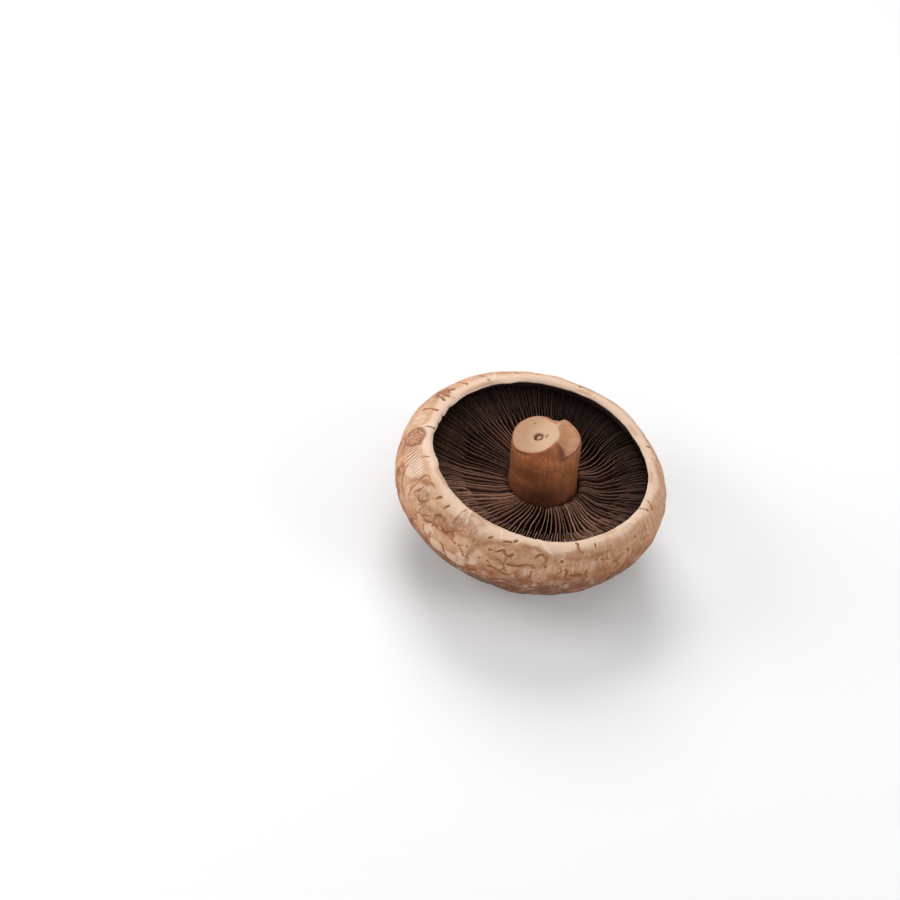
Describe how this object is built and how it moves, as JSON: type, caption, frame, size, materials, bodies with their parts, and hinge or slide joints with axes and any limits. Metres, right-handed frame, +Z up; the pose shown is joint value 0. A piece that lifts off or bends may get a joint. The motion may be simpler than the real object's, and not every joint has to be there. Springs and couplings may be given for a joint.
{
  "type": "portobello mushroom",
  "caption": "Fresh flat-cap mushroom lying on its crown, with an inrolled margin, dark gills and a short stem trimmed across.",
  "frame": {"origin": "on the surface that the crown rests on, under the middle of the cap", "axes": "+Z up, along the axis of the cap and out of its mouth; the stem leans to -X; +X to the right and +Y away, seen from the front"},
  "size_m": [0.1103, 0.1089, 0.0576],
  "materials": {
    "cap_skin": "matt cream-tan skin with brown cracks and scales, browner towards the crown",
    "gill": "dark chocolate brown, soft and matt, with paler edges",
    "stem_skin": "fibrous orange-brown skin, cream where it is cut across"
  },
  "bodies": {
    "root": {"cap": "cap_skin", "gills": "gill", "stem": "stem_skin"}
  },
  "joints": []
}
